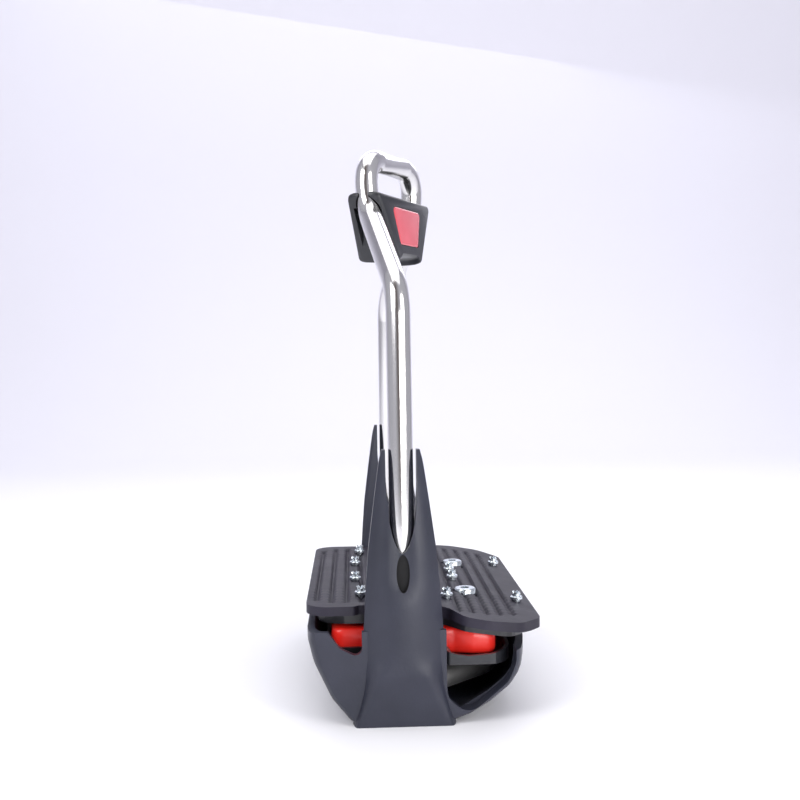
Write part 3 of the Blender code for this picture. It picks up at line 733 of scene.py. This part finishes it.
# ---------------------------------------------------------------- carried CAD nodes
CARRIED = {"cushion_tray": PLASTIC, "tread_plate": PLASTIC, "frame_saddle_near": PLASTIC,
           "frame_saddle_far": PLASTIC, "cushion_insert_near": BRASS, "cushion_insert_far": BRASS}
REPLACED = {"steel_frame", "base_shell", "tread_pad", "tread_screw_near", "tread_screw_far", "cushion_near",
            "cushion_far", "clip_front", "clip_rear", "clip_badge"}
for name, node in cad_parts.items():
    if name not in REPLACED and not name.startswith("grip_stud"):
        node.data.materials.clear()
        node.data.materials.append(CARRIED.get(name, ZINC))
for name in ("cushion_tray", "tread_plate"):
    soften(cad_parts[name], 0.3, 2, 40.0)

# ---------------------------------------------------------------- studio
def floor_material():
    """White in front, turning to a pale lavender on the backdrop."""
    n = Nodes("pale_floor")
    split = n.new("ShaderNodeSeparateXYZ")
    n.link(n.object, split.inputs[0])
    far = n.new("ShaderNodeMapRange", From_Min=0.25, From_Max=1.2, interpolation_type="SMOOTHSTEP")
    n.link(split.outputs["Y"], far.inputs["Value"])
    n.link(n.ramp(far.outputs["Result"], [(0.0, (0.90, 0.90, 0.93)), (1.0, (0.74, 0.735, 0.82))]),
           n.shader.inputs["Base Color"])
    n.set(Roughness=0.55)
    return n.mat


def studio_floor():
    """A floor that curves up into a backdrop, in metres."""
    half, front, bend_y, bend_r, top = 2.4, -1.6, 0.75, 0.35, 4.0
    profile = [(front, 0.0), (bend_y, 0.0)]
    profile += [(bend_y + bend_r * math.sin(a), bend_r - bend_r * math.cos(a))
                for a in [math.radians(9 * k) for k in range(1, 11)]]
    profile.append((bend_y + bend_r, top))
    bm = bmesh.new()
    rows = [[bm.verts.new((x, y, z)) for x in (-half, half)] for y, z in profile]
    for a, b in zip(rows, rows[1:]):
        bm.faces.new((a[0], a[1], b[1], b[0]))
    mesh = bpy.data.meshes.new("studio_floor")
    bm.to_mesh(mesh)
    bm.free()
    mesh.materials.append(floor_material())
    mesh.shade_smooth()
    floor = bpy.data.objects.new("studio_floor", mesh)
    bpy.context.scene.collection.objects.link(floor)


def area(name, location, target, size, power, colour=(1, 1, 1)):
    """A rectangular lamp that faces its target, in metres and watts."""
    light = bpy.data.lights.new(name, "AREA")
    light.shape = "RECTANGLE"
    light.size, light.size_y = size
    light.energy = power
    light.color = colour
    obj = bpy.data.objects.new(name, light)
    obj.location = location
    obj.rotation_euler = (Vector(target) - Vector(location)).to_track_quat("-Z", "Y").to_euler()
    bpy.context.scene.collection.objects.link(obj)


studio_floor()
area("key_left", (-0.8, -0.75, 0.75), (0, 0, 0.06), (0.7, 0.9), 9)
area("fill_right", (0.75, -0.85, 0.5), (0, 0, 0.05), (0.5, 0.8), 7, (1, 0.98, 0.96))
area("front_low", (0.3, -1.0, 0.16), (0, 0, 0.03), (0.45, 0.25), 3.5)
area("top", (0, 0.1, 1.3), (0, 0, 0), (1.2, 1.2), 7)
area("back", (0.1, 0.95, 0.75), (0, 0, 0.12), (1.2, 0.6), 3.5, (0.95, 0.96, 1))

world = bpy.data.worlds.new("studio")
bpy.context.scene.world = world
world.use_nodes = True
tree = world.node_tree
background = tree.nodes["Background"]
coords = tree.nodes.new("ShaderNodeTexCoord")
split = tree.nodes.new("ShaderNodeSeparateXYZ")
tree.links.new(coords.outputs["Generated"], split.inputs[0])


def maths(operation, *values):
    """A Math node over numbers and sockets."""
    node = tree.nodes.new("ShaderNodeMath")
    node.operation = operation
    for socket, value in zip(node.inputs, values):
        if isinstance(value, bpy.types.NodeSocket):
            tree.links.new(value, socket)
        else:
            socket.default_value = value
    return node.outputs[0]


# The room is pale all round, with one narrow dark panel in front for the polished rod to reflect.
PANEL_X = -0.16
PANEL_EDGE = 2.3         # the larger, the narrower the panel
beside = maths("ABSOLUTE", maths("SUBTRACT", split.outputs["X"], PANEL_X))
panel = maths("MULTIPLY", maths("LESS_THAN", split.outputs["Y"], 0.0),
              maths("SUBTRACT", 1.0, maths("SMOOTH_MIN", maths("MULTIPLY", beside, PANEL_EDGE), 1.0, 0.3)))
mix = tree.nodes.new("ShaderNodeMix")
mix.data_type = "RGBA"
tree.links.new(panel, mix.inputs[0])
mix.inputs[6].default_value = (0.60, 0.60, 0.66, 1)
mix.inputs[7].default_value = (0.10, 0.065, 0.05, 1)
tree.links.new(mix.outputs[2], background.inputs["Color"])
background.inputs["Strength"].default_value = 0.8

# ---------------------------------------------------------------- camera
CAMERA_AT = Vector((-14.6 - CENTRE_X, -424.0, 120.0)) * MM
YAW, PITCH, ROLL = (math.tan(math.radians(a)) for a in (2.361, 2.511, 1.0))
across = Vector((-YAW, -PITCH, 1.0)).normalized()
up = Vector((-math.sin(math.atan(ROLL)), -math.cos(math.atan(ROLL)), 0.0))
up = (up - across * up.dot(across)).normalized()
right = across.cross(up)
camera_data = bpy.data.cameras.new("camera")
camera_data.lens = 51.3
camera_data.sensor_width = 36.0
camera_data.clip_start = 0.01
camera = bpy.data.objects.new("camera", camera_data)
bpy.context.scene.collection.objects.link(camera)
rotation = Matrix((right, across, up))
rotation = rotation @ Matrix(((1, 0, 0), (0, -1, 0), (0, 0, -1)))
camera.matrix_world = Matrix.Translation(CAMERA_AT) @ rotation.to_4x4()
bpy.context.scene.camera = camera
bpy.context.scene.view_settings.view_transform = "Standard"
